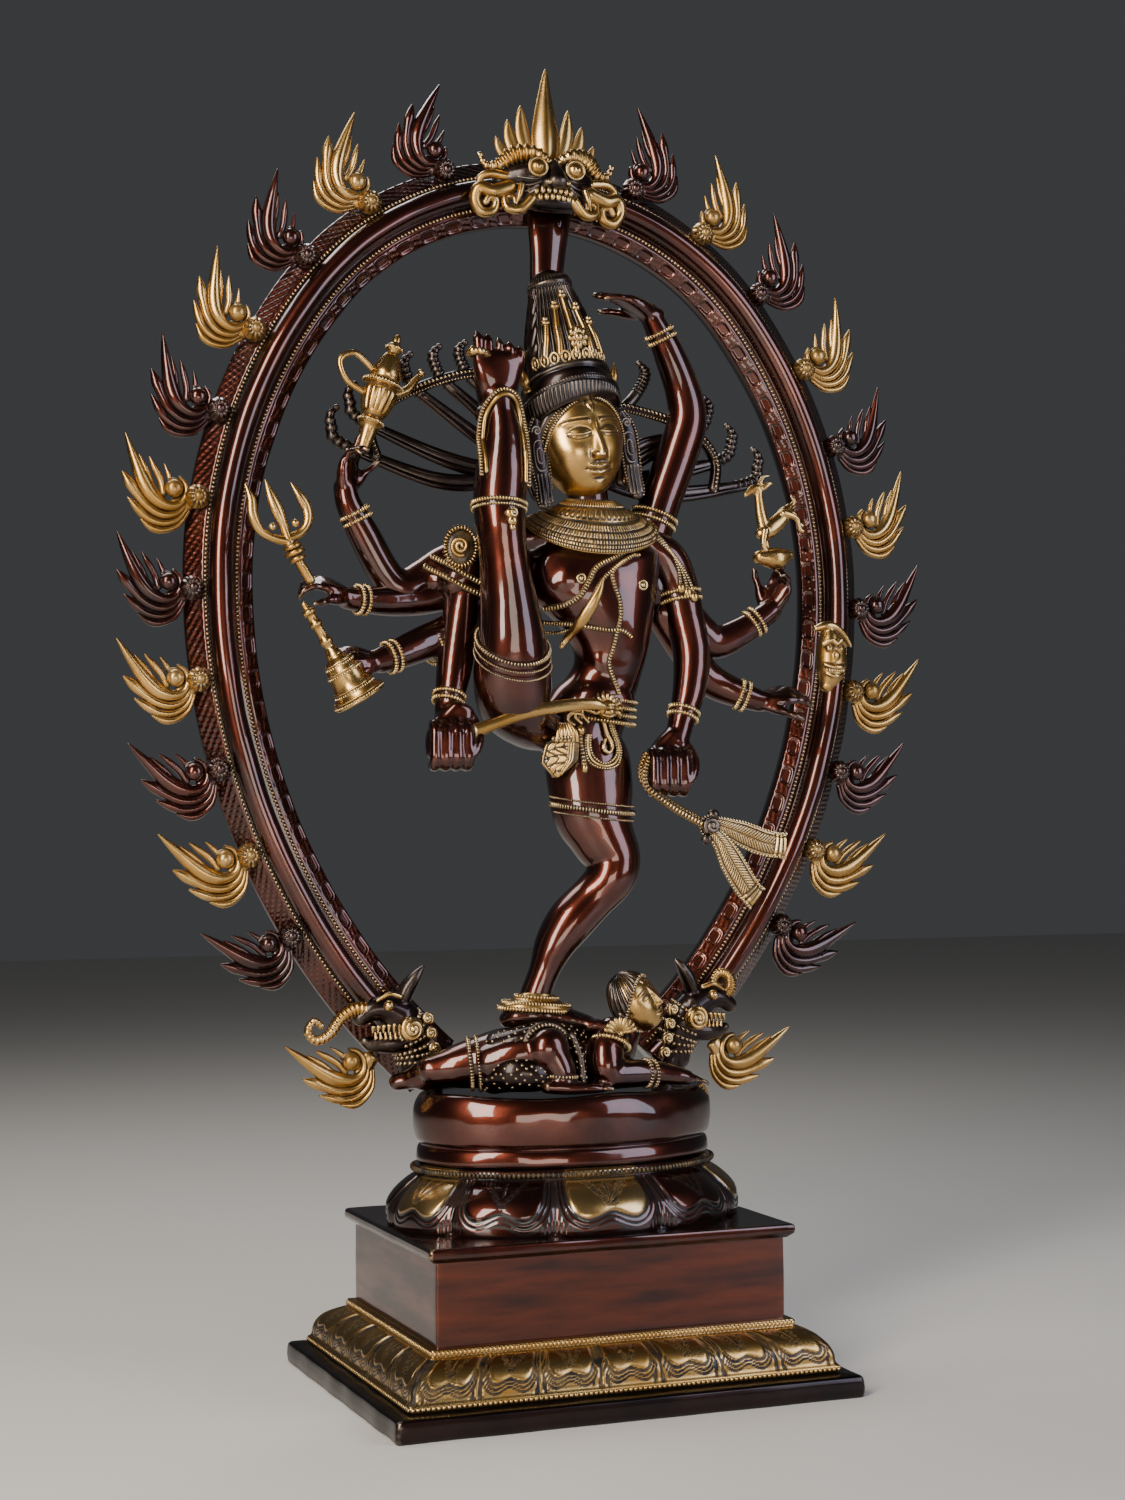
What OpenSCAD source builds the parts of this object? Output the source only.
// Eight-armed dancing figure inside a ring of flames, cast in brass, on a lotus seat and plinth.
// Millimetres, +Z up, the figure faces -Y, and the origin is the middle of the plinth's underside.

/* [Plinth] */
// Width of the bottom slab, side to side
foot_w = 324; // [300:2:350]
// Depth of the bottom slab, front to back
foot_d = 260; // [240:2:290]
// Thickness of the bottom slab
foot_h = 14; // [10:1:20]
// Width of the plain box above the lotus moulding
box_w = 246; // [230:2:260]
// Depth of the plain box
box_d = 180; // [170:2:190]
// Height at which the plain box starts
box_low = 48; // [44:1:56]
// Height at which the plain box ends and the cap plate lies
box_high = 102; // [92:1:110]
// How far the cap plate stands out past the box
cap_lip = 6; // [3:1:10]
// Thickness of the cap plate
cap_h = 9; // [6:1:12]

/* [Lotus seat] */
// Half width of the oval lotus at its foot
lotus_rx = 124; // [116:1:128]
// Half depth of the oval lotus at its foot
lotus_ry = 86; // [78:1:90]
// Height of the lotus petals
lotus_h = 39; // [34:1:44]
// Half width of the oval seat above the petals
seat_rx = 106; // [98:1:110]
// Half depth of the oval seat
seat_ry = 66; // [60:1:70]
// Height of the oval seat
seat_h = 48; // [42:1:54]

/* [Ring of flames] */
// Radius of the top of the ring, measured to the line of the flame bosses
ring_top_r = 225.6; // [220:0.2:230]
// Radius of the ring's flanks
ring_side_r = 349.5; // [340:0.5:360]
// Radius of the ring's lower flanks
ring_low_r = 465.6; // [455:0.5:475]
// Height of the centre of the ring's top arc
ring_top_z = 624.4; // [620:0.2:630]
// Radial width of the ring's section
ring_band = 46; // [42:1:50]
// Depth of the ring's section, front to back
ring_deep = 27; // [24:1:30]
// How far behind the middle of the plinth the ring's back face stands
ring_back = 48; // [44:1:50]
// Number of flames down each side, above the sea beasts' mouths
flame_count = 11; // [9:1:11]
// Thickness of a flame's tongues
flame_thick = 6; // [4:1:9]
// Radius of the boss at a flame's root
boss_r = 8; // [6:0.5:9]

/* [Fixings] */
// Radius of the studs that hold the lotus seat to the plinth
stud_r = 4; // [3:0.5:5]
// Wall thickness of the hollow plinth
wall = 7; // [5:1:9]

/* [Hidden] */
$fn = 48;
cap_top = box_high + cap_h;
lotus_top = cap_top + lotus_h;
seat_low = lotus_top + 2;
seat_top = seat_low + seat_h;
hollow_w = box_w - 2 * wall;
hollow_d = box_d - 2 * wall;
stud_at = [for (sx = [-1, 1], sy = [-1, 1]) [sx * 78, sy * 34]];

// The ring's boss line is three arcs that meet in line, down each side from the crest
ring_bend_1 = 38;   // angle of the first meeting point, in degrees up from level
ring_bend_2 = 0.7;  // angle of the second
ring_end = -48.5;   // angle at which the leg reaches the seat
ring_side_c = [(ring_top_r - ring_side_r) * cos(ring_bend_1),
               ring_top_z + (ring_top_r - ring_side_r) * sin(ring_bend_1)];
ring_low_c = [ring_side_c[0] + (ring_side_r - ring_low_r) * cos(ring_bend_2),
              ring_side_c[1] + (ring_side_r - ring_low_r) * sin(ring_bend_2)];
boss_y = ring_back - 12;
flame_gap = 61.5;   // spacing of the flames along the boss line

flame_names = [for (k = [1:flame_count]) str("flame_pair_", k < 10 ? "0" : "", k)];

patina = "#4a2014";
dark = "#241612";
brass = "#b8923e";

// ---------- shared shapes ----------

// Curve through four neighbouring stations of a list (Catmull-Rom)
function between(s, i, t) =
    let (a = s[max(i - 1, 0)], b = s[i], c = s[i + 1], d = s[min(i + 2, len(s) - 1)])
    0.5 * (2 * b + (c - a) * t + (2 * a - 5 * b + 4 * c - d) * t * t
           + (3 * b - a - 3 * c + d) * t * t * t);
function smooth(s, n) = concat([for (i = [0:len(s) - 2], k = [0:n - 1]) between(s, i, k / n)],
                               [s[len(s) - 1]]);
function unit(v) = v / norm(v);
function place(s) = [s[0], s[1], s[2]];
// Direction of a path at station i
function heading(s, i) = unit(place(s[min(i + 1, len(s) - 1)]) - place(s[max(i - 1, 0)]));

// Skin over rings of equal point counts, listed from one end to the other
module skin(rings) {
    n = len(rings[0]);
    last = len(rings) - 1;
    points = [for (ring = rings) each ring];
    sides = [for (i = [0:last - 1], j = [0:n - 1]) each
        let (a = i * n + j, b = i * n + (j + 1) % n) [[a, a + n, b + n], [a, b + n, b]]];
    low_cap = [[for (j = [0:n - 1]) j]];
    high_cap = [[for (j = [n - 1:-1:0]) last * n + j]];
    polyhedron(points, concat(low_cap, sides, high_cap), convexity = 6);
}

// Round limb along stations [x, y, z, half width, half depth]; depth is measured along side
module limb(stations, sides = 10, steps = 2, side = [0, 1, 0]) {
    s = smooth(stations, steps);
    skin([for (i = [0:len(s) - 1])
        let (t = heading(s, i), u = unit(cross(side, t)), v = cross(t, u))
        [for (j = [0:sides - 1]) let (a = 360 * j / sides)
            place(s[i]) + s[i][3] * cos(a) * u + s[i][4] * sin(a) * v]]);
}

// Thin round strand of even taper through points, from radius r0 to r1
module strand(points, r0, r1, sides = 6, steps = 2) {
    n = len(points) - 1;
    limb([for (i = [0:n]) let (r = r0 + (r1 - r0) * i / n)
        [points[i][0], points[i][1], points[i][2], r, r]], sides, steps);
}

// Turns local +Z to direction d and moves it to p
module aim(p, d) {
    u = unit(d);
    translate(p) rotate([0, acos(u[2]), atan2(u[1], u[0])]) children();
}

// Round bead ring about direction d
module band(p, d, r, t = 1.8) {
    aim(p, d) rotate_extrude($fn = 36) translate([r, 0]) circle(t, $fn = 16);
}

// Two rings side by side, as bracelets are worn
module bangles(p, d, r, gap = 5) {
    u = unit(d);
    band(p - u * gap / 2, d, r);
    band(p + u * gap / 2, d, r);
}

// Oval block turned from a list of [height, half width, half depth]
module oval(levels, sides = 48) {
    skin([for (l = levels) [for (j = [0:sides - 1]) let (a = 360 * j / sides)
        [l[1] * cos(a), l[2] * sin(a), l[0]]]]);
}

// Rectangular block with sloping sides from [height, half width, half depth]
module stepped(levels) {
    skin([for (l = levels) [[-l[1], -l[2], l[0]], [l[1], -l[2], l[0]],
                            [l[1], l[2], l[0]], [-l[1], l[2], l[0]]]]);
}

// Hand: palm and five fingers from wrist p; ahead is the way the fingers point and up is the
// back of the hand; curl bends the fingers towards the palm, in degrees per joint
module hand(p, ahead, up, curl = 25, size = 1) {
    x = unit(ahead);
    y = unit(cross(up, x));
    z = cross(x, y);
    multmatrix([[x[0], y[0], z[0], p[0]], [x[1], y[1], z[1], p[1]],
                [x[2], y[2], z[2], p[2]], [0, 0, 0, 1]]) scale(size) {
        limb([[-2, 0, 0, 5, 6], [5, 0, 0, 5, 9], [13, 0, 0, 4.5, 10.5], [20, 0, -1, 3.5, 10]], 8, 2);
        for (k = [-1.5:1:1.5]) {
            knuckle = [18, k * 5, -1];
            reach = 10 - abs(k - 0.5);
            middle_joint = knuckle + reach * [cos(curl), 0, -sin(curl)];
            tip = middle_joint + reach * [cos(2.2 * curl), 0, -sin(2.2 * curl)];
            limb([[each knuckle, 2.6, 2.6], [each middle_joint, 2.4, 2.4], [each tip, 1.6, 1.6]], 6, 2);
        }
        limb([[4, -7, -1, 3, 3], [12, -12, -5, 2.8, 2.8], [18, -12, -10, 1.8, 1.8]], 6, 2);
    }
}

// Flat curved tongue of a flame in its own plane, from p by way of q to r, w wide at its root
module tongue(p, q, r, w) {
    n = 6;
    centre = [for (i = [0:n]) let (t = i / n) (1 - t) * (1 - t) * p + 2 * t * (1 - t) * q + t * t * r];
    function across(i) = let (d = centre[min(i + 1, n)] - centre[max(i - 1, 0)]) [-d[1], d[0]] / norm(d);
    function half(i) = 0.5 * w * pow(1 - i / n, 0.7) + 0.5;
    polygon(concat([for (i = [0:n]) centre[i] + across(i) * half(i)],
                   [for (i = [n:-1:0]) centre[i] - across(i) * half(i)]));
}

// Flame outline about its boss: a curl, one long tongue and five short ones
module flame_outline() {
    translate([17, 5]) circle(10, $fn = 24);
    tongue([14, -5], [34, -4], [46, 39], 14);
    tongue([10, -8], [38, -12], [50, 12], 7);
    tongue([8, -9], [34, -16], [48, -1], 6);
    tongue([6, -9], [26, -20], [42, -13], 6);
    tongue([22, 8], [25, 14], [31, 29], 5);
    tongue([16, 10], [19, 16], [22, 25], 5);
}

// One flame standing on edge in the ring's plane, turned by a and grown from the boss point
module flame(at, a, k) {
    translate([at[0], boss_y, at[1]]) rotate([90, 0, 0]) {
        cylinder(r = boss_r, h = 15, center = true);
        rotate(a) translate([0, 0, -flame_thick / 2]) linear_extrude(flame_thick) flame_outline();
    }
}

// ---------- the boss line ----------

len_top = ring_top_r * (90 - ring_bend_1) * PI / 180;
len_side = ring_side_r * (ring_bend_1 - ring_bend_2) * PI / 180;
// Angle up from level of the outward direction, s along the boss line from the crest
function ring_angle(s) =
    s < len_top ? 90 - s / ring_top_r * 180 / PI
    : s < len_top + len_side ? ring_bend_1 - (s - len_top) / ring_side_r * 180 / PI
    : ring_bend_2 - (s - len_top - len_side) / ring_low_r * 180 / PI;
// Point [x, z] that stands off outside the boss line (inside when negative)
function ring_point(s, off = 0) =
    let (a = ring_angle(s), top = s < len_top, side = s < len_top + len_side,
         c = top ? [0, ring_top_z] : side ? ring_side_c : ring_low_c,
         r = (top ? ring_top_r : side ? ring_side_r : ring_low_r) + off)
    c + r * [cos(a), sin(a)];
// Distance along the boss line of flame k, and the lean of its long tongue
function flame_s(k) = 73 + (k - 1) * flame_gap + (k > 3 ? 3 : 0);
function flame_turn(k) = ring_angle(flame_s(k)) + min(33, 12 * k) - 40;
leg_s = len_top + len_side + ring_low_r * (ring_bend_2 - ring_end) * PI / 180;

// ---------- plinth and seat ----------

module hollow(low, high) {
    translate([-hollow_w / 2, -hollow_d / 2, low]) cube([hollow_w, hollow_d, high - low]);
}

module plinth_foot() {
    color(dark) difference() {
        stepped([[0, foot_w / 2 - 1, foot_d / 2 - 1], [1, foot_w / 2, foot_d / 2],
                 [foot_h - 1, foot_w / 2, foot_d / 2], [foot_h, foot_w / 2 - 1, foot_d / 2 - 1],
                 [foot_h + 1.5, foot_w / 2 - 8, foot_d / 2 - 8]]);
        hollow(-1, foot_h + 3);
    }
}

module plinth_moulding() {
    low = foot_h + 1.5;
    step_w = foot_w / 2 - 12;
    step_d = foot_d / 2 - 12;
    color(brass) difference() {
        stepped([[low, step_w, step_d], [low + 3, step_w, step_d], [low + 6, step_w - 4, step_d - 4],
                 [low + 14, step_w - 6, step_d - 6], [low + 22, step_w - 11, step_d - 11],
                 [low + 27, step_w - 18, step_d - 18], [box_low - 4, box_w / 2 + 8, box_d / 2 + 8],
                 [box_low, box_w / 2 + 5, box_d / 2 + 5]]);
        hollow(0, box_low + 1);
    }
}

module plinth_box() {
    color(patina) difference() {
        translate([-box_w / 2, -box_d / 2, box_low]) cube([box_w, box_d, box_high - box_low]);
        hollow(box_low - 1, box_high + 1);
    }
}

module stud_holes(low, high, r) {
    for (p = stud_at) translate([p[0], p[1], low]) cylinder(r = r, h = high - low);
}

module plinth_cap() {
    w = box_w / 2 + cap_lip;
    d = box_d / 2 + cap_lip;
    color(patina) difference() {
        stepped([[box_high, w - 3, d - 3], [box_high + 3, w, d], [cap_top - 1, w, d],
                 [cap_top, w - 1, d - 1]]);
        stud_holes(box_high - 1, cap_top + 1, stud_r + 0.3);
    }
}

module lotus_pedestal() {
    color(patina) difference() {
        oval([[cap_top, lotus_rx - 1, lotus_ry - 1], [cap_top + 3, lotus_rx, lotus_ry],
              [cap_top + 12, lotus_rx - 1, lotus_ry - 1], [cap_top + 22, lotus_rx - 8, lotus_ry - 7],
              [cap_top + 31, lotus_rx - 17, lotus_ry - 15], [cap_top + 36, lotus_rx - 21, lotus_ry - 20],
              [lotus_top, seat_rx - 2, seat_ry - 1], [seat_low, seat_rx - 3, seat_ry - 2]]);
        stud_holes(cap_top - 1, cap_top + 24, stud_r);
    }
}

module pedestal_seat() {
    color(patina) difference() {
        oval([[seat_low, seat_rx - 5, seat_ry - 4], [seat_low + 3, seat_rx - 1, seat_ry - 1],
              [seat_low + 9, seat_rx - 1, seat_ry - 1], [seat_low + 12, seat_rx - 3, seat_ry - 3],
              [seat_low + 15, seat_rx, seat_ry], [seat_low + 30, seat_rx + 1, seat_ry + 1],
              [seat_top - 5, seat_rx - 1, seat_ry - 1], [seat_top, seat_rx - 6, seat_ry - 6]]);
        // sockets for the tenons of the ring's legs
        for (sx = [-1, 1]) translate([sx * 84 - 7.2, 16.8, seat_top - 24]) cube([14.4, 12.4, 30]);
    }
}

module fixing_studs() {
    color("silver") stud_holes(box_high - 11, cap_top + 23, stud_r);
}

module fixing_washers() {
    color("silver") difference() {
        stud_holes(box_high - 1.6, box_high, stud_r * 2.4);
        stud_holes(box_high - 3, box_high + 1, stud_r);
    }
}

module fixing_nuts() {
    color("silver") difference() {
        for (p = stud_at) translate([p[0], p[1], box_high - 8.1]) cylinder(r = stud_r * 1.9, h = 6.5, $fn = 6);
        stud_holes(box_high - 9, box_high, stud_r);
    }
}

// ---------- the demon underfoot ----------

module demon_body() {
    color(patina) {
        limb([[-98, -4, 214, 8, 10], [-84, -8, 217, 14, 16], [-64, -12, 220, 18, 22], [-44, -14, 223, 20, 25],
              [-18, -14, 221, 18, 24], [6, -14, 221, 18, 24], [26, -18, 224, 18, 24],
              [36, -20, 232, 12, 14], [42, -20, 240, 9, 9]], 12);
    }
}

module demon_head() {
    color(brass) limb([[46, -20, 235, 8, 10], [46, -21, 240, 14, 15], [43, -21, 250, 19, 19], [41, -20, 262, 20, 20],
                       [40, -20, 271, 15, 16], [39, -20, 277, 6, 7]], 12);
}

module demon_limbs() {
    color(patina) {
        // bent front leg: thigh, knee and foot
        limb([[-62, -28, 218, 12, 10], [-46, -38, 226, 14, 12], [-28, -44, 229, 15, 12],
              [-16, -45, 224, 13, 11], [-18, -44, 212, 9, 9], [-24, -44, 206, 6, 7]]);
        limb([[-30, -46, 207, 5, 8], [-14, -48, 205, 5, 9], [4, -49, 203, 3.5, 9], [8, -49, 202, 2, 6]], 8);
        // front arm lying along the seat
        limb([[22, -34, 236, 12, 10], [14, -42, 224, 13, 11], [14, -44, 212, 12, 10], [32, -43, 210, 11, 9],
              [54, -40, 211, 8, 8], [74, -36, 208, 7, 8], [84, -33, 204, 3, 6]]);
        // far leg stretched back along the seat
        limb([[-80, 2, 214, 12, 14], [-98, 8, 214, 10, 11], [-104, 14, 208, 7, 8]], 8);
    }
}

// ---------- the dancing figure ----------

module standing_leg() {
    color(patina) {
        limb([[16, -2, 446, 22, 20], [20, -3, 428, 27, 23], [21, -5, 408, 28, 23], [20, -8, 388, 25, 21],
              [26, -11, 372, 20, 18], [32, -14, 356, 18, 17], [30, -16, 343, 17, 16], [18, -14, 330, 16, 15],
              [2, -12, 314, 16, 16], [-10, -12, 298, 14, 14], [-18, -11, 280, 11, 11],
              [-24, -10, 264, 11, 11], [-27, -10, 252, 11, 11]]);
        limb([[-42, -6, 247, 4, 8], [-34, -8, 249, 8, 11], [-16, -14, 248, 8, 12], [4, -22, 245, 6, 13],
              [18, -27, 243, 4, 12], [25, -29, 242, 2, 7]], 10);
    }
}

module raised_leg() {
    color(patina) {
        limb([[-18, -6, 424, 16, 18], [-34, -12, 430, 26, 24], [-42, -20, 450, 29, 26], [-46, -28, 476, 27, 24],
              [-48, -34, 500, 24, 22], [-52, -38, 530, 19, 19], [-58, -42, 560, 17, 17], [-61, -43, 585, 17, 17],
              [-60, -43, 600, 18, 17], [-58, -42, 622, 17, 16], [-57, -40, 642, 13, 13], [-58, -38, 660, 12, 12],
              [-59, -38, 668, 13, 12]]);
        // foot: sole turned up and outwards
        limb([[-58, -32, 664, 12, 8], [-59, -38, 674, 15, 9], [-60, -42, 684, 17, 6], [-60, -43, 692, 17, 4]], 10);
        for (k = [0:4]) {
            x = -73 + k * 7.5;
            r = k == 0 ? 4 : 2.8;
            limb([[x, -43, 687, r, r], [x - 0.5, -44, 696 - k, r, r], [x - 1, -42, 704 - 1.6 * k, r * 0.7, r * 0.7]],
                 6, 2);
        }
    }
}

module torso() {
    color(patina) {
        limb([[8, 0, 424, 16, 16], [10, 0, 436, 34, 24], [16, -1, 452, 32, 23], [26, -2, 468, 27, 21],
              [34, -4, 486, 25, 20], [35, -6, 504, 29, 22], [31, -7, 524, 38, 25], [26, -7, 543, 47, 27],
              [22, -6, 558, 54, 25], [20, -5, 572, 48, 21], [19, -5, 582, 28, 17], [19, -7, 592, 17, 15],
              [18, -9, 604, 15, 14], [17, -10, 616, 14, 13]], 14);
        // yoke of the far shoulders, from which the fan of arms grows
        limb([[10, 2, 558, 20, 18], [-20, 4, 556, 22, 18], [-52, 4, 553, 22, 16], [-80, 5, 549, 18, 14],
              [-96, 6, 546, 8, 8]], 10);
    }
}

module head() {
    color(brass) limb([[17, -22, 605, 6, 8], [16.5, -21, 609, 14, 14], [15.5, -18, 618, 23, 22],
                       [13, -15, 630, 29, 27], [10, -13, 644, 32, 30], [7, -12, 658, 32, 30],
                       [4, -11, 672, 30, 28], [2, -10, 682, 26, 25]], 16);
}

module crown() {
    color(dark) {
        limb([[6, -11, 668, 34, 32], [4, -10, 674, 36, 34], [3, -10, 682, 35, 33], [1, -9, 690, 31, 29],
              [0, -9, 696, 28, 26], [-1, -9, 706, 27, 25], [-3, -8, 718, 24, 22], [-5, -7, 732, 20, 18],
              [-8, -6, 746, 16, 14], [-10, -5, 758, 12, 11], [-11, -4, 763, 6, 6]], 16);
    }
    color(brass) translate([-1, -33, 712]) rotate([80, 0, 0]) cylinder(r = 8, h = 5);
}

module ear_locks() {
    color(dark) for (s = [-1, 1]) {
        x = 9 + s * 31;
        limb([[x - s * 2, -6, 660, 4, 8], [x + s * 2, -9, 645, 5, 9], [x + s * 3, -11, 625, 6, 8],
              [x + s * 1, -12, 606, 6, 7], [x + s * 2, -12, 592, 4, 5]], 8);
    }
}

// Matted locks that spread behind the head: each rises from the root to a curled tip
module hair_fan(root, tips, drop) {
    for (k = [0:len(tips) - 1]) {
        tip = tips[k];
        away = sign(tip[0] - root[0]);
        middle_point = root + (tip - root) * 0.55 - [0, 0, drop * (1 - k / len(tips))];
        strand([root, middle_point, tip + [-4 * away, 0, -26], tip + [3 * away, 0, -10], tip], 4, 3.4);
    }
}

module hair_fan_left() {
    root = [-4, 16, 628];
    color(dark) {
        hair_fan(root, [[-156, 21, 664], [-143, 21, 681], [-103, 21, 704], [-82, 21, 711], [-63, 21, 715]], 30);
        strand([[-128, 19, 628], [-133, 20, 650], [-122, 20, 668], [-90, 20, 684], [-56, 20, 694], [-30, 18, 690]],
               5, 4);
    }
}

module hair_fan_right() {
    root = [24, 16, 628];
    color(dark) {
        hair_fan(root, [[162, 21, 652], [141, 21, 668], [122, 21, 688], [104, 21, 684], [72, 21, 709]], 24);
        strand([[126, 19, 622], [128, 20, 640], [118, 20, 656], [96, 20, 668], [60, 20, 676], [40, 18, 676]], 5, 4);
    }
}

// ---------- the eight arms ----------

module arm_ewer() {
    color(patina) {
        limb([[-50, 8, 558, 14, 13], [-76, 8, 560, 14, 13], [-98, 9, 548, 13, 12], [-113, 8, 541, 12, 12],
              [-125, 8, 552, 11.5, 11], [-139, 7, 576, 11, 10], [-150, 6, 596, 9, 8.5], [-153, 6, 608, 8, 8]]);
        hand([-153, 5, 608], [0.12, -0.1, 1], [-1, -0.4, 0.1], 14, 1.1);
    }
}

module arm_trident() {
    color(patina) {
        limb([[-60, 8, 548, 14, 13], [-82, 9, 540, 13, 12], [-100, 9, 535, 12, 11.5], [-124, 5, 532, 10.5, 10],
              [-146, 1, 532, 8.5, 8], [-154, 0, 533, 8, 8]]);
        hand([-154, 0, 534], [-1, -0.2, 0.45], [0.35, -0.5, 1], 34);
    }
}

module arm_bell() {
    color(patina) {
        limb([[-52, 4, 540, 14, 13], [-66, 2, 524, 14, 13], [-80, -1, 512, 13, 12], [-104, -7, 502, 12, 11],
              [-126, -12, 493, 10, 9], [-139, -14, 489, 8, 8]]);
        hand([-138, -14, 489], [-1, -0.2, 0.25], [0.2, -0.6, 1], 34);
    }
}

module arm_sword() {
    color(patina) {
        limb([[-66, -2, 548, 12, 12], [-72, -5, 532, 13.5, 13], [-77, -9, 512, 13, 12.5], [-82, -14, 490, 12.5, 12],
              [-86, -18, 474, 11, 11], [-90, -22, 460, 9, 9], [-91, -23, 452, 8.5, 8.5]]);
        hand([-91, -23, 453], [-0.05, -0.25, -1], [-0.2, -1, 0.2], 52);
    }
}

module arm_overhead() {
    color(patina) {
        limb([[56, 4, 556, 17, 16], [68, 6, 578, 16, 16], [80, 6, 610, 15, 15], [93, 5, 644, 15, 14],
              [100, 4, 668, 14.5, 13], [96, 3, 690, 13, 12], [84, 1, 716, 11, 10.5], [74, 0, 734, 8.5, 8.5],
              [69, 0, 742, 7.5, 7.5]]);
        hand([70, 0, 741], [-1, -0.1, 0.42], [0.4, -0.1, 1], 14, 1.12);
    }
}

module arm_deer() {
    color(patina) {
        limb([[70, 4, 548, 15, 14], [92, 7, 534, 14, 13], [112, 9, 517, 12.5, 12], [124, 9, 510, 12, 11],
              [142, 6, 518, 10.5, 10], [158, 3, 529, 8.5, 8.5], [164, 2, 534, 8, 8]]);
        hand([163, 2, 533], [0.5, -0.1, 1], [1, -0.6, 0], 22);
    }
}

module arm_skull() {
    color(patina) {
        limb([[80, 4, 530, 14, 13], [96, 6, 508, 13.5, 13], [110, 8, 490, 12.5, 12], [121, 8, 481, 12, 11.5],
              [136, 4, 474, 10.5, 10], [150, 1, 469, 8.5, 8.5], [156, 0, 468, 8, 8]]);
        hand([155, 0, 468], [1, -0.3, 0.25], [-0.2, -0.7, 1], 20);
    }
}

module arm_noose() {
    color(patina) {
        limb([[66, -3, 576, 13, 13], [80, -2, 566, 15.5, 15], [88, -3, 548, 15, 14.5], [92, -6, 526, 14, 13.5],
              [96, -9, 500, 13.5, 13], [92, -13, 474, 12, 11.5], [84, -17, 452, 9.5, 9.5], [79, -20, 438, 8.5, 8.5]]);
        hand([79, -20, 439], [-0.3, -0.2, -1], [0.3, -1, 0.2], 48);
    }
}

// ---------- ornaments ----------

module collar() {
    color(brass) {
        limb([[18, -10, 601, 19, 18], [19, -10, 597, 22, 21], [20, -11, 590, 29, 25], [21, -12, 580, 38, 29],
              [22, -13, 571, 44, 31], [22.5, -13, 566, 42, 29]], 20, 2);
        // coiled epaulette on the near shoulder of the fan of arms
        translate([-67, -14, 572]) rotate([90, 0, 0]) cylinder(r = 13, h = 5);
    }
}

module sacred_thread() {
    color(brass) {
        strand([[46, -28, 575], [38, -34, 562], [25, -36, 547], [16, -34, 530], [6, -31, 520], [-8, -28, 516]], 2.6, 2.4);
        strand([[50, -30, 566], [53, -33, 548], [48, -33, 530], [46, -31, 514], [50, -28, 500]], 1.8, 1.6);
        strand([[-2, -27, 510], [16, -30, 502], [36, -30, 499], [58, -24, 500]], 1.8, 1.8);
    }
}

module waist_belt() {
    color(brass) {
        band([27, -2, 466], [0.1, 0, 1], 25, 2.4);
        band([25, -2, 460], [0.1, 0, 1], 26.5, 2.4);
        band([22, -2, 454], [0.1, 0, 1], 28, 2.4);
        translate([24, -27, 459]) rotate([90, 0, 0]) cylinder(r = 8, h = 6);
        // sash loops and the cloth that hangs from the clasp
        limb([[12, -24, 446, 10, 4], [6, -28, 436, 13, 4], [0, -31, 422, 12, 4], [-4, -31, 408, 7, 3],
              [-3, -30, 402, 2, 2]], 8, 2);
        strand([[27, -27, 452], [35, -28, 436], [40, -28, 424], [34, -28, 412], [24, -29, 416], [20, -29, 432]], 3, 3);
        strand([[16, -28, 440], [14, -29, 424], [17, -30, 408]], 2.6, 2.2);
    }
}

module arm_bands() {
    color(brass) {
        bangles([-145, 6, 589], [-11, -1, 20], 11);
        bangles([-143, 1, 532], [-1, -0.2, 0], 10.5);
        bangles([-126, -12, 493], [-13, -2, -4], 11.5);
        bangles([-89, -21, 465], [-4, -4, -14], 11.5);
        bangles([78, 0, 726], [-10, -1, 18], 11.5);
        bangles([152, 4, 525], [14, -3, 10], 11);
        bangles([141, 3, 472], [14, -3, -5], 11.5);
        bangles([86, -16, 457], [-8, -4, -22], 11.5);
        bangles([89, -4, 540], [3, -3, -22], 16.5, 6);
        bangles([74, 6, 596], [12, 0, 32], 17.5, 6);
        bangles([-93, -2, 503], [-24, -8, -10], 14.5, 6);
    }
}

module leg_bands() {
    color(brass) {
        bangles([-61, -43, 590], [0, 0, 1], 19, 5);
        band([-47, -30, 482], [-0.1, -0.25, 1], 27, 2);
        band([21, -8, 391], [0.1, -0.1, 1], 26.5, 2);
        bangles([-24, -10, 263], [-0.25, 0, 1], 14, 6);
        bangles([-57, -39, 651], [-0.1, 0.1, 1], 15, 5);
        band([-73, -44, 691], [0.1, 0, 1], 6.5, 2);
    }
}

// ---------- things held ----------

module ewer() {
    color(brass) {
        aim([-142, 2, 634], [0.33, 0, 1]) rotate_extrude() polygon([
            [0, 0], [4, 0], [5, 8], [6.5, 16], [8.5, 20], [7.5, 23], [9, 27], [12, 40], [11, 44], [13.5, 47],
            [11, 50], [10, 58], [6, 68], [4, 71], [5.5, 74], [3.5, 78], [0, 84]]);
        strand([[-134, 2, 685], [-146, 2, 696], [-156, 2, 690], [-150, 2, 678], [-138, 2, 674]], 2.2, 2.2);
        strand([[-116, 2, 677], [-108, 2, 679], [-103, 2, 684]], 2.6, 1.8);
    }
}

module trident() {
    color(brass) {
        strand([[-182, -7, 545], [-189, -7, 556], [-196, -8, 570]], 3.2, 3);
        strand([[-196, -8, 568], [-203, -8, 588], [-211, -8, 607]], 3.2, 1);
        strand([[-196, -8, 572], [-212, -8, 574], [-220, -8, 588], [-224, -8, 604]], 3, 1);
        strand([[-196, -8, 572], [-183, -8, 582], [-186, -8, 594], [-194, -8, 606]], 3, 1);
        aim([-193, -8, 564], [-0.4, 0, 1]) cylinder(r = 7, h = 5);
    }
}

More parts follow.
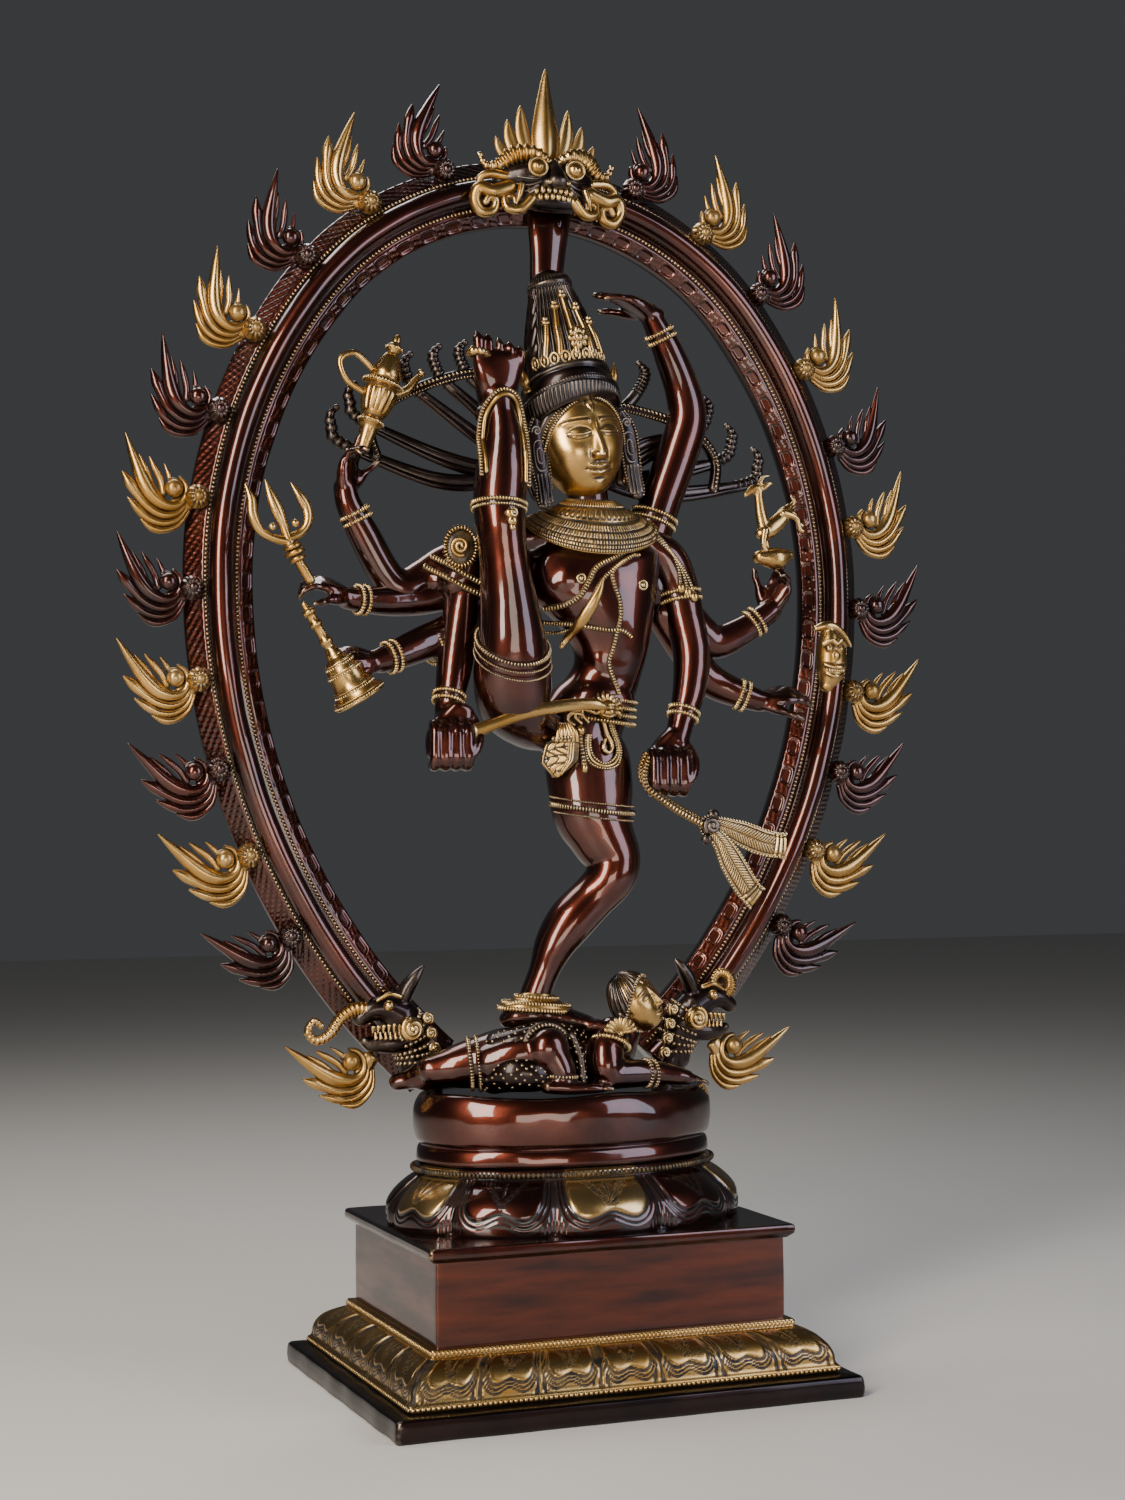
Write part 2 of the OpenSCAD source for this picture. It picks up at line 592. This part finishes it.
module bell() {
    color(brass) {
        aim([-186, -22, 520], [0.62, 0, -1]) {
            cylinder(r = 3.2, h = 34);
            translate([0, 0, -3]) sphere(3.4);
            rotate_extrude() polygon([
                [0, 32], [5, 33], [10, 38], [11, 44], [12.5, 54], [16.5, 62], [17, 65], [14.5, 65],
                [11.5, 58], [9.5, 48], [8, 42], [4, 37], [0, 36]]);
        }
    }
}

module bell_clapper() {
    color(brass) aim([-186, -22, 520], [0.62, 0, -1]) {
        translate([0, 0, 35]) cylinder(r = 1.5, h = 24);
        translate([0, 0, 62]) sphere(4);
    }
}

module sword() {
    color(brass) limb([[-98, -36, 440, 4, 4], [-80, -38, 442, 4, 4], [-62, -38, 447, 5.5, 3], [-40, -40, 455, 6, 2.6],
                       [-16, -41, 460, 6, 2.4], [6, -40, 461, 5, 2], [16, -39, 459, 1.5, 1]], 8);
}

module deer() {
    color(brass) {
        limb([[152, -3, 590, 4, 4], [160, -3, 592, 6.5, 5], [170, -3, 598, 6, 5], [176, -3, 606, 4, 4]], 8);
        limb([[157, -3, 592, 5, 4], [155, -3, 604, 4, 3.4], [154, -3, 616, 3.4, 3], [153, -3, 624, 3.8, 3],
              [149, -3, 622, 3, 2.6], [144, -3, 617, 1.6, 1.6]], 8);
        strand([[154, -3, 622], [157, -3, 628], [161, -3, 629]], 1.8, 1.2);
        for (leg = [[156, -7, 156, 576], [160, 1, 163, 574], [170, -7, 172, 580], [174, 1, 178, 582]])
            strand([[leg[0], leg[1], 592], [(leg[0] + leg[2]) / 2, leg[1], 584], [leg[2], leg[1], leg[3]]], 2.4, 2);
        limb([[154, -3, 571, 6, 7], [166, -3, 571, 8, 9], [178, -3, 574, 5, 6]], 8);
    }
}

module skull_cup() {
    color(brass) limb([[201, -12, 478, 5, 6], [206, -12, 484, 9, 9], [207, -12, 496, 11, 10], [206, -12, 508, 9.5, 9],
                       [204, -12, 518, 7, 7], [202, -12, 524, 4, 4]], 10);
}

module noose() {
    color(brass) {
        for (dy = [0, 5]) strand([[58, -34 - dy, 424], [48, -32 - dy, 412], [58, -32 - dy, 402],
                                  [78, -31 - dy, 390], [98, -31 - dy, 378]], 3.4, 3);
        limb([[94, -32, 380, 5, 5], [106, -32, 378, 7, 4], [124, -31, 371, 8, 4], [144, -30, 365, 9, 4],
              [156, -30, 364, 6, 3]], 8);
        limb([[94, -33, 382, 5, 5], [104, -33, 368, 7, 4], [114, -32, 352, 8, 4], [126, -31, 336, 9, 4],
              [134, -30, 328, 6, 3]], 8);
    }
}

// ---------- ring, masks and flames ----------

// Half of the ring's section as [off the boss line, front to back], from the outer back corner
function ring_section() = [
    [3, ring_back], [3, ring_back - 4], [-8, ring_back - 15], [-11, ring_back - 15],
    for (a = [0:36:180]) [-19 + 8 * cos(a), ring_back - 17 - (ring_deep - 18) * sin(a)],
    [-29, ring_back - 14], [-33, ring_back - 14], [3 - ring_band, ring_back - 9], [3 - ring_band, ring_back]];

module ring_arch() {
    section = ring_section();
    steps = 32;
    rings = [for (i = [-steps:steps])
        let (s = abs(i) / steps * leg_s, m = i < 0 ? -1 : 1)
        [for (q = section) let (p = ring_point(s, q[0])) [m * p[0], q[1], p[1]]]];
    color(patina) {
        skin(rings);
        for (sx = [-1, 1]) {
            translate([sx * 84 - 7, 17, seat_top - 22]) cube([14, 12, 30]);
            translate([sx * 87 - 13, 20, seat_top]) cube([26, 24, 14]);
        }
    }
}

module kirtimukha() {
    color(brass) translate([0, 22, 830]) {
        // brow and upper jaw
        limb([[-40, 0, 2, 6, 8], [-30, -4, 5, 12, 12], [-12, -8, 6, 15, 15], [12, -8, 6, 15, 15],
              [30, -4, 5, 12, 12], [40, 0, 2, 6, 8]], 12);
        limb([[-26, -6, -8, 6, 7], [-10, -12, -9, 8, 9], [10, -12, -9, 8, 9], [26, -6, -8, 6, 7]], 10);
        limb([[0, 0, 8, 12, 12], [0, 2, 22, 9, 9], [0, 3, 32, 8, 7]], 10);
        for (s = [-1, 1]) {
            translate([s * 13, -20, 9]) sphere(6.5);
            strand([[s * 36, 0, 0], [s * 50, -2, -4], [s * 52, -2, -16], [s * 42, -2, -20], [s * 37, -2, -12]], 6, 4);
            strand([[s * 18, -8, -12], [s * 26, -8, -20], [s * 34, -8, -16], [s * 30, -8, -10]], 4.5, 3);
        }
    }
}

module top_flame() {
    color(brass) translate([0, 26, 852]) rotate([90, 0, 0]) translate([0, 0, -flame_thick]) {
        linear_extrude(2 * flame_thick) {
            polygon([[-9, 0], [-12, 12], [-10, 30], [-5, 50], [0, 63], [5, 50], [10, 30], [12, 12], [9, 0]]);
            for (s = [-1, 1]) {
                tongue([s * 8, 0], [s * 14, 16], [s * 20, 38], 9);
                tongue([s * 10, -2], [s * 22, 8], [s * 28, 24], 8);
                tongue([s * 12, -4], [s * 26, 2], [s * 34, 8], 7);
            }
        }
    }
}

// Sea beast at the foot of the ring: body, open jaws and trunk, facing outwards
module makara() {
    limb([[98, 30, 226, 14, 13], [106, 28, 240, 17, 14], [114, 26, 250, 16, 13], [126, 26, 252, 11, 10],
          [136, 28, 247, 6, 7]], 10);
    limb([[114, 26, 256, 9, 9], [108, 22, 268, 8, 8], [102, 20, 278, 5, 5], [98, 20, 284, 2, 2]], 8);
    limb([[104, 26, 228, 9, 10], [118, 26, 226, 8, 8], [132, 27, 226, 5, 5]], 8);
    limb([[96, 30, 222, 9, 10], [88, 28, 210, 8, 9], [84, 26, seat_top - 2, 7, 8]], 8);
}

module makara_left() {
    color(dark) mirror([1, 0, 0]) makara();
}

module makara_right() {
    color(dark) makara();
}

module makara_flames() {
    color(brass) for (s = [0, 1]) mirror([s, 0, 0]) translate([128, boss_y - 6, 224]) rotate([90, 0, 0])
        translate([0, 0, -flame_thick / 2]) rotate(-34) linear_extrude(flame_thick) flame_outline();
}

module back_strut() {
    color(patina) limb([[12, 22, 640, 9, 7], [8, 26, 680, 10, 7], [4, 28, 720, 11, 7], [4, 30, 760, 11, 7],
                        [8, 32, 790, 13, 7], [10, 34, 812, 15, 7]], 8);
}

module flame_pair(k) {
    at = ring_point(flame_s(k));
    color(k % 2 == 1 ? dark : brass) for (s = [0, 1]) mirror([s, 0, 0]) flame(at, flame_turn(k), k);
}

plinth_foot();
plinth_moulding();
plinth_box();
plinth_cap();
lotus_pedestal();
pedestal_seat();
fixing_studs();
fixing_washers();
fixing_nuts();
demon_body();
demon_head();
demon_limbs();
standing_leg();
raised_leg();
torso();
head();
crown();
ear_locks();
hair_fan_left();
hair_fan_right();
arm_ewer();
arm_trident();
arm_bell();
arm_sword();
arm_overhead();
arm_deer();
arm_skull();
arm_noose();
collar();
sacred_thread();
waist_belt();
arm_bands();
leg_bands();
ewer();
trident();
bell();
bell_clapper();
sword();
deer();
skull_cup();
noose();
ring_arch();
kirtimukha();
top_flame();
makara_left();
makara_right();
makara_flames();
back_strut();
for (k = [1:flame_count])
    flame_pair(k);
